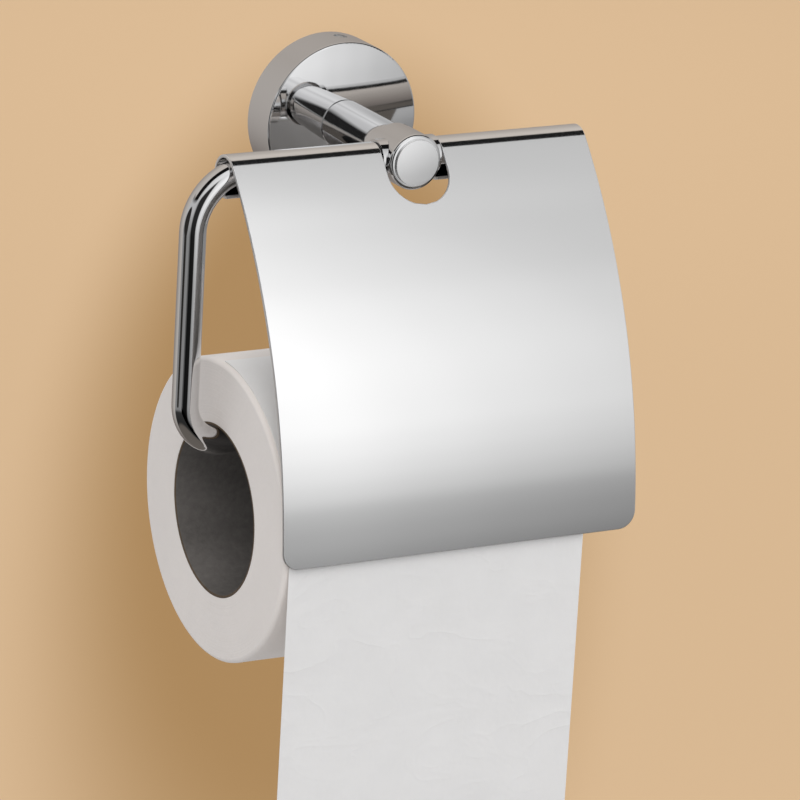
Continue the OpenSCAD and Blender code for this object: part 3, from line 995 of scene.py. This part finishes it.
class HOLDER_OT_solids(bpy.types.Operator):
    """Gives the flange, post, collars, plate, screws and the other solids their finishes"""
    bl_idname = "paper_holder.solids"
    bl_label = "Finishes of the solids"

    def execute(self, context):
        for node, finish in SOLID_FINISHES.items():
            for slot in frame["nodes"][node].material_slots:
                slot.material = finish_named(finish)
        return {"FINISHED"}


# ---------------------------------------------------------------- stage

SOFT_LIGHT = (0.97, 0.98, 1.0)
SOFT_LIGHT_POWER = 0.62

# The studio that polished metal mirrors: brightness by height, from straight down, 0, to straight up, 1
CEILING = [(0.00, (0.16, 0.142, 0.126)), (0.12, (0.15, 0.133, 0.118)), (0.17, 0.03), (0.27, 0.04),
           (0.32, 0.27), (0.40, 0.34), (0.50, 0.43), (0.62, 0.60), (0.80, 0.62), (0.90, 0.50), (1.0, 0.47)]
WALL_GLOW = [(0.15, (0.22, 0.195, 0.178)), (0.35, (0.315, 0.279, 0.255)), (0.50, (0.38, 0.34, 0.31)),
             (0.66, (0.46, 0.418, 0.382)), (0.78, (0.52, 0.475, 0.435)), (0.90, (0.66, 0.605, 0.555))]
WALL_GLOW_LEFT = (0.66, 0.625, 0.59)
CEILING_GAP = (0.008, 0.008, 0.008)
LEFT_GAP = (0.03, 0.028, 0.026)
# Where its regions begin: the part of a direction that tells, and its values outside and inside
REGIONS = {
    "gap_forward": ("Y", -0.35, -0.33),
    "gap_high": ("Z", 0.40, 0.50),
    "wall": ("Y", 0.42, 0.50),
    "near_wall": ("Y", 0.14, 0.17),
    "overhead": ("Z", 0.45, 0.55),
    "left": ("X", -0.15, -0.95),
    "far_left": ("X", -0.935, -0.948),
}

# The softbox in front: its reach, and its brightness by height and by place across
SOFTBOX_Y = -0.35
SOFTBOX_X = (-0.50, 0.75)
SOFTBOX_Z = (-0.32, 0.78)
SOFTBOX_RISE = [(-0.255, 0.0), (-0.20, 0.26), (-0.15, 0.36), (-0.126, 0.42), (-0.10, 0.62), (-0.076, 0.73),
                (-0.05, 0.82), (-0.02, 0.90), (0.06, 0.95), (0.13, 0.93), (0.20, 0.88), (0.28, 0.88),
                (0.36, 0.93), (0.48, 0.91), (0.78, 0.88)]
SOFTBOX_RIGHT = [(0.0, 0.95), (0.045, 0.80), (0.07, 0.95), (0.09, 0.97), (0.13, 0.85), (0.165, 0.76),
                 (0.20, 0.69), (0.235, 0.61), (0.27, 0.57), (0.36, 0.52), (0.75, 0.42)]
SOFTBOX_LOW = [(-0.50, 0.44), (-0.42, 0.30), (-0.34, 0.02), (-0.13, 0.02), (-0.09, 0.74)] + SOFTBOX_RIGHT
SOFTBOX_HIGH = [(-0.50, 0.60), (-0.30, 0.70), (-0.09, 0.80)] + SOFTBOX_RIGHT
SOFTBOX_HIGH_FROM = (0.18, 0.24)
SOFTBOX_POWER = 1.38

# The floor is a little darker behind the holder: a soft shadow of the holder, painted into the floor's colour
# as an oval
FLOOR_Z = CAD_BOX[0].z - 0.5
FLOOR_REACH = 6.0
FLOOR_PAINTED_SHADOW_PLACE = (0.901, 1.627, FLOOR_Z)
FLOOR_PAINTED_SHADOW_TURN = -0.51647
FLOOR_PAINTED_SHADOW_SIZE = (0.208, 1.22, 1.0)
FLOOR_PAINTED_SHADOW_FULL = 0.52     # of the way to its middle, from where its colour is full

# Lamps: name, place, the place it is aimed at, size and power
MIDDLE = (CAD_BOX[0] + CAD_BOX[1]) / 2
LAMPS = (
    ("key_light", (-0.9, -1.3, 1.5), MIDDLE, 1.3, 17.0),
    ("fill_light", (1.6, -1.2, 0.3), MIDDLE, 1.6, 8.0),
    ("top_light", (0.2, 0.3, 1.9), MIDDLE, 1.4, 8.0),
    ("floor_light", (1.5, 2.6, 0.9), Vector((1.5, 2.6, -0.1)), 1.5, 8.0),
)

CAMERA_PLACE = (-0.77964, -1.43117, 0.42780)
CAMERA_YAW = 0.51647        # to the right of the wall's normal
CAMERA_PITCH = 0.30755      # downwards
CAMERA_ROLL = -0.0578
CAMERA_LENS = 250.34
CAMERA_SENSOR = 36.0
CAMERA_CLIP = (0.05, 50)


def add_card(scene, name, corners):
    """A flat stage piece with one face, and its mesh."""
    mesh = bpy.data.meshes.new(name)
    mesh.from_pydata(corners, [], [(0, 1, 2, 3)])
    card = bpy.data.objects.new(name, mesh)
    scene.collection.objects.link(card)
    return card, mesh


class HOLDER_OT_stage(bpy.types.Operator):
    """Sets the floor, the soft studio light and the camera"""
    bl_idname = "paper_holder.stage"
    bl_label = "Stage"

    def execute(self, context):
        scene = context.scene
        scene.view_settings.view_transform = "Standard"
        self.add_world(scene)
        self.add_floor(scene)
        self.add_softbox(scene)
        self.add_lights(scene)
        self.add_camera(scene)
        return {"FINISHED"}

    def add_world(self, scene):
        """The backdrop for the camera, the mirrored studio for metal, and soft light for the rest."""
        world = bpy.data.worlds.new("studio")
        scene.world = world
        world.use_nodes = True
        tree = world.node_tree
        soft = tree.nodes["Background"]
        feed(tree, soft, {"Color": (*SOFT_LIGHT, 1), "Strength": SOFT_LIGHT_POWER})
        backdrop = add(tree, "ShaderNodeBackground", Color=(*scene.holder_finishes.wall, 1), Strength=1.0)
        mirrored = add(tree, "ShaderNodeBackground", Color=self.mirrored_studio(tree), Strength=1.0)
        rays = add(tree, "ShaderNodeLightPath").outputs
        unseen = choose(tree, rays["Is Glossy Ray"], soft.outputs[0], mirrored.outputs[0])
        seen = choose(tree, rays["Is Camera Ray"], unseen, backdrop.outputs[0])
        feed(tree, tree.nodes["World Output"], {"Surface": seen})

    def mirrored_studio(self, tree):
        """A ceiling in bands with a dark gap, the wall's glow, and a dark gap far to the left."""
        way = parts_of(tree, "Generated")
        height = step(tree, way["Z"], -1.0, 1.0)
        inside = {name: step(tree, way[axis], start, end) for name, (axis, start, end) in REGIONS.items()}
        gap = both(tree, "MULTIPLY", inside["gap_forward"], inside["gap_high"])
        ceiling = blend(tree, gap, ramp(tree, height, CEILING, "EASE"), (*CEILING_GAP, 1))
        above_wall = both(tree, "MULTIPLY", inside["near_wall"], inside["overhead"])
        wall_share = both(tree, "MAXIMUM", inside["wall"], above_wall)
        wall = blend(tree, inside["left"], ramp(tree, height, WALL_GLOW), (*WALL_GLOW_LEFT, 1))
        room = blend(tree, wall_share, ceiling, wall)
        return blend(tree, inside["far_left"], room, (*LEFT_GAP, 1))

    def add_softbox(self, scene):
        """A soft light that only mirrors see, just in front of the holder."""
        (x0, x1), (z0, z1) = SOFTBOX_X, SOFTBOX_Z
        softbox, mesh = add_card(scene, "softbox", [(x0, SOFTBOX_Y, z0), (x1, SOFTBOX_Y, z0),
                                                    (x1, SOFTBOX_Y, z1), (x0, SOFTBOX_Y, z1)])
        for ray in ("camera", "diffuse", "transmission", "volume_scatter", "shadow"):
            setattr(softbox, "visible_" + ray, False)
        material, tree, shader = new_material("softbox_glow")
        tree.nodes.remove(shader)
        place = parts_of(tree, "Object")
        low = self.brightness(tree, place["X"], SOFTBOX_X, SOFTBOX_LOW)
        high = self.brightness(tree, place["X"], SOFTBOX_X, SOFTBOX_HIGH)
        across = blend(tree, step(tree, place["Z"], *SOFTBOX_HIGH_FROM), low, high)
        rise = self.brightness(tree, place["Z"], SOFTBOX_Z, SOFTBOX_RISE)
        glow = add(tree, "ShaderNodeEmission", Strength=SOFTBOX_POWER,
                   Color=blend(tree, 1.0, rise, across, "MULTIPLY"))
        feed(tree, tree.nodes["Material Output"], {"Surface": glow.outputs[0]})
        mesh.materials.append(material)

    def brightness(self, tree, source, ends, stops):
        """A brightness that changes along a socket's value, from one end to the other."""
        low, high = ends
        shares = [((place - low) / (high - low), grey) for place, grey in stops]
        return ramp(tree, step(tree, source, low, high), shares, "EASE")

    def add_floor(self, scene):
        reach = FLOOR_REACH
        floor, mesh = add_card(scene, "floor", [(-reach, -reach, FLOOR_Z), (reach, -reach, FLOOR_Z),
                                                (reach, reach, FLOOR_Z), (-reach, reach, FLOOR_Z)])
        floor.visible_glossy = False
        floor.visible_diffuse = False
        material, tree, shader = new_material("pale_floor")
        # Painted shadow: a soft oval in the floor's base colour, darker behind the holder, in place of the
        # holder's shadow
        place = add(tree, "ShaderNodeTexCoord").outputs["Object"]
        shadow_oval = add(tree, "ShaderNodeMapping", props={"vector_type": "TEXTURE"}, Vector=place,
                   Location=FLOOR_PAINTED_SHADOW_PLACE, Rotation=(0, 0, FLOOR_PAINTED_SHADOW_TURN), Scale=FLOOR_PAINTED_SHADOW_SIZE)
        soft = add(tree, "ShaderNodeTexGradient", props={"gradient_type": "SPHERICAL"},
                   Vector=shadow_oval.outputs["Vector"])
        colours = scene.holder_finishes
        tones = [(0.0, tuple(colours.floor)), (FLOOR_PAINTED_SHADOW_FULL, tuple(colours.floor_painted_shadow))]
        feed(tree, shader, {
            "Base Color": ramp(tree, soft.outputs["Fac"], tones, "EASE"),
            "Roughness": 0.9,
            "Specular IOR Level": 0.1,
        })
        mesh.materials.append(material)

    def add_lights(self, scene):
        for name, place, aim, size, power in LAMPS:
            light = bpy.data.lights.new(name, "AREA")
            light.shape = "SQUARE"
            light.size = size
            light.energy = power
            lamp = bpy.data.objects.new(name, light)
            lamp.location = place
            lamp.rotation_euler = (aim - Vector(place)).to_track_quat("-Z", "Y").to_euler()
            lamp.visible_glossy = False
            scene.collection.objects.link(lamp)

    def add_camera(self, scene):
        ahead = Vector((math.sin(CAMERA_YAW), math.cos(CAMERA_YAW), 0))
        forward = ahead * math.cos(CAMERA_PITCH) + DOWN * math.sin(CAMERA_PITCH)
        level = Vector((math.cos(CAMERA_YAW), -math.sin(CAMERA_YAW), 0))
        below = forward.cross(level)
        right = level * math.cos(CAMERA_ROLL) + below * math.sin(CAMERA_ROLL)
        down = below * math.cos(CAMERA_ROLL) - level * math.sin(CAMERA_ROLL)
        placed = Matrix((right, -down, -forward)).transposed().to_4x4()
        placed.translation = CAMERA_PLACE
        camera = bpy.data.cameras.new("camera")
        camera.sensor_width = CAMERA_SENSOR
        camera.lens = CAMERA_LENS
        camera.clip_start, camera.clip_end = CAMERA_CLIP
        camera.dof.use_dof = False
        view = bpy.data.objects.new("camera", camera)
        view.matrix_world = placed
        scene.collection.objects.link(view)
        scene.camera = view


# ---------------------------------------------------------------- panel and registration

STEPS = ("stage", "solids", "cap", "rod", "cover", "core", "roll", "loose_sheet")
GROUPS = {
    "holder_post": PostSizes,
    "holder_cover": CoverSizes,
    "holder_rod": RodSizes,
    "holder_paper": PaperSizes,
    "holder_finishes": Finishes,
}


class HOLDER_PT_panel(bpy.types.Panel):
    """Lists the holder's pieces"""
    bl_idname = "HOLDER_PT_panel"
    bl_label = "Paper Holder"
    bl_space_type = "VIEW_3D"
    bl_region_type = "UI"
    bl_category = "Paper Holder"

    def draw(self, context):
        column = self.layout.column(align=True)
        for step_name in STEPS:
            column.operator("paper_holder." + step_name)
        for group in GROUPS:
            settings = getattr(context.scene, group)
            box = self.layout.box()
            for name in settings.bl_rna.properties.keys():
                if name not in ("rna_type", "name"):
                    box.prop(settings, name)


CLASSES = (
    *GROUPS.values(),
    HOLDER_OT_stage,
    HOLDER_OT_solids,
    HOLDER_OT_cap,
    HOLDER_OT_rod,
    HOLDER_OT_cover,
    HOLDER_OT_core,
    HOLDER_OT_roll,
    HOLDER_OT_loose_sheet,
    HOLDER_PT_panel,
)


def register():
    for cls in CLASSES:
        bpy.utils.register_class(cls)
    for name, group in GROUPS.items():
        setattr(bpy.types.Scene, name, PointerProperty(type=group))


def unregister():
    for name in GROUPS:
        delattr(bpy.types.Scene, name)
    for cls in reversed(CLASSES):
        bpy.utils.unregister_class(cls)


def main():
    register()
    for step_name in STEPS:
        getattr(bpy.ops.paper_holder, step_name)()


if __name__ == "__main__":
    main()
